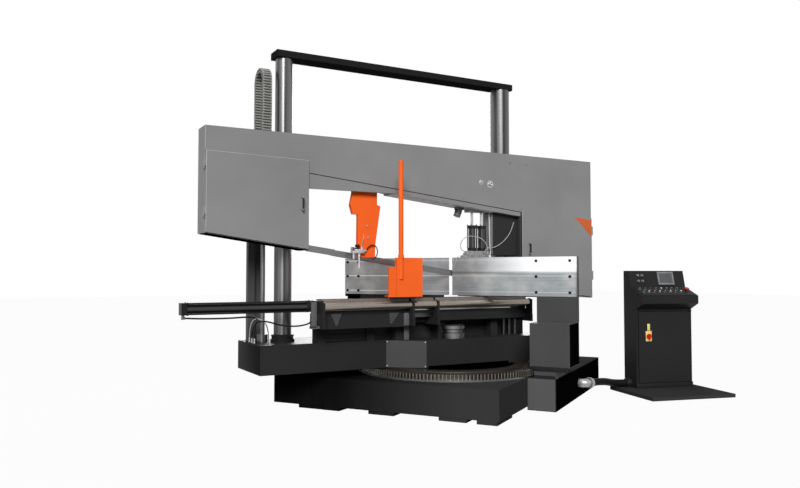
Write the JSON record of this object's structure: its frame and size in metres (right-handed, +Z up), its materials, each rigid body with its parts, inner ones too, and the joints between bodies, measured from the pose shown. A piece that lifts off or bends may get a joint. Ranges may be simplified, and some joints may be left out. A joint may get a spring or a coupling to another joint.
{
  "type": "double mitre band saw",
  "caption": "Double mitre band saw with a canted bow on a swivel frame, a fixed fence, a hydraulic vise and a control console.",
  "frame": {"origin": "on the floor under the swivel axis, at the centre of the anchor bolt circle", "axes": "+X along the bow towards the drive wheel, +Y to the back of the bow, +Z up"},
  "size_m": [6.1022, 3.4279, 3.695],
  "materials": {
    "bow_grey": "satin",
    "base_dark": "satin",
    "frame_grey": "satin",
    "console_dark": "satin",
    "black": "satin",
    "orange": "satin",
    "fence_steel": "brushed",
    "chrome": "polished",
    "steel": "machined",
    "cast": "rough",
    "pale_paint": "satin",
    "red": "gloss",
    "black_plastic": "matte",
    "hose": "matte"
  },
  "bodies": {
    "base": {"base_frame": "base_dark", "base_feet": "base_dark", "slew_flange": "base_dark", "ring_gear": "steel", "outrigger_beam": "base_dark", "right_post": "frame_grey", "right_bracket": "black", "left_post": "base_dark", "fence_jaw_left": "fence_steel", "fence_jaw_right": "fence_steel", "jaw_bolts": "black", "console_plate": "base_dark", "console_cabinet": "console_dark", "console_desk": "console_dark", "console_screen": "pale_paint", "cable_glands": "steel", "conduit": "hose"},
    "swivel": {"swivel_frame": "frame_grey", "slew_race": "steel", "column_left": "chrome", "column_right": "chrome", "column_collars": "frame_grey", "top_beam": "frame_grey", "table_frame": "frame_grey", "vise_guide": "steel", "vise_barrel": "black", "vise_caps": "black", "lift_rods": "chrome", "chain_post": "black", "swivel_motor": "black", "chip_chute": "base_dark"},
    "pinion": {"swivel_pinion": "steel"},
    "roller_a": {"roller_left": "steel"},
    "roller_b": {"roller_middle": "steel"},
    "roller_c": {"roller_right": "steel"},
    "bow": {"bow_frame": "bow_grey", "wheel_axles": "steel", "blade": "steel", "column_sleeves": "bow_grey", "lift_barrels": "bow_grey", "chain_bracket": "bow_grey", "gearbox": "cast", "drive_motor": "black", "drive_housing": "black", "guide_rail": "black", "guide_arm_right": "steel", "work_lamp": "black_plastic"},
    "drive": {"drive_wheel": "cast"},
    "idler": {"idler_wheel": "cast"},
    "door_left": {"left_door": "bow_grey"},
    "door_right": {"right_door": "bow_grey"},
    "guide": {"guide_arm_left": "orange", "guide_head_left": "steel"},
    "vise": {"moving_jaw": "orange", "jaw_bar": "orange", "vise_rod": "chrome"},
    "chain": {"cable_chain": "black_plastic"},
    "cabinet_door": {"console_door": "console_dark"},
    "switch": {"main_switch": "red"},
    "stop": {"emergency_stop": "red"}
  },
  "joints": [
    {"name": "mitre", "type": "hinge", "parent": "base", "child": "swivel", "pos_m": [0, 0, 0], "axis": [0, 0, 1], "range_deg": [-10, 80]},
    {"name": "pinion_turn", "type": "hinge", "parent": "swivel", "child": "pinion", "pos_m": [0.98969, 0.4615, 0], "axis": [0, 0, 1], "range_deg": [-95, 735]},
    {"name": "bow_lift", "type": "slide", "parent": "swivel", "child": "bow", "axis": [0, 0, 1], "range_m": [-0.28, 0.45]},
    {"name": "drive_spin", "type": "hinge", "parent": "bow", "child": "drive", "pos_m": [1.43, 0, 1.6312], "axis": [0, 1, 0], "continuous": true},
    {"name": "idler_spin", "type": "hinge", "parent": "bow", "child": "idler", "pos_m": [-2.3, 0, 2.16086], "axis": [0, 1, 0], "continuous": true},
    {"name": "left_door_swing", "type": "hinge", "parent": "bow", "child": "door_left", "pos_m": [-2.809, -0.14025, 0], "axis": [0, 0, -1], "range_deg": [0, 100]},
    {"name": "right_door_swing", "type": "hinge", "parent": "bow", "child": "door_right", "pos_m": [1.999, -0.14025, 0], "axis": [0, 0, 1], "range_deg": [0, 85]},
    {"name": "guide_slide", "type": "slide", "parent": "bow", "child": "guide", "axis": [0.9901, 0, -0.1406], "range_m": [-0.16, 0.15]},
    {"name": "vise_slide", "type": "slide", "parent": "swivel", "child": "vise", "axis": [1, 0, 0], "range_m": [-0.65, 0.15]},
    {"name": "chain_run", "type": "slide", "parent": "swivel", "child": "chain", "axis": [0, 0, 1], "range_m": [-0.14, 0.225]},
    {"name": "roller_left_spin", "type": "hinge", "parent": "swivel", "child": "roller_a", "pos_m": [0, -0.35, 1.075], "axis": [1, 0, 0], "continuous": true},
    {"name": "roller_middle_spin", "type": "hinge", "parent": "swivel", "child": "roller_b", "pos_m": [0, -0.35, 1.075], "axis": [1, 0, 0], "continuous": true},
    {"name": "roller_right_spin", "type": "hinge", "parent": "swivel", "child": "roller_c", "pos_m": [0, -0.35, 1.075], "axis": [1, 0, 0], "continuous": true},
    {"name": "cabinet_door_swing", "type": "hinge", "parent": "base", "child": "cabinet_door", "pos_m": [2.87432, -0.86761, 0], "axis": [0, 0, 1], "range_deg": [0, 110]},
    {"name": "switch_turn", "type": "hinge", "parent": "cabinet_door", "child": "switch", "pos_m": [2.3204, -0.7125, 0.65], "axis": [-0.2419, -0.9703, 0], "range_deg": [0, 90]},
    {"name": "stop_press", "type": "slide", "parent": "base", "child": "stop", "axis": [0.0922, 0.3698, -0.9245], "range_m": [0, 0.006], "stiffness_N_per_m": 2000}
  ],
  "couplings": [
    {"joint": "pinion_turn", "follows": "mitre", "ratio": 9.1111},
    {"joint": "idler_spin", "follows": "drive_spin", "ratio": 1},
    {"joint": "chain_run", "follows": "bow_lift", "ratio": 0.5}
  ]
}
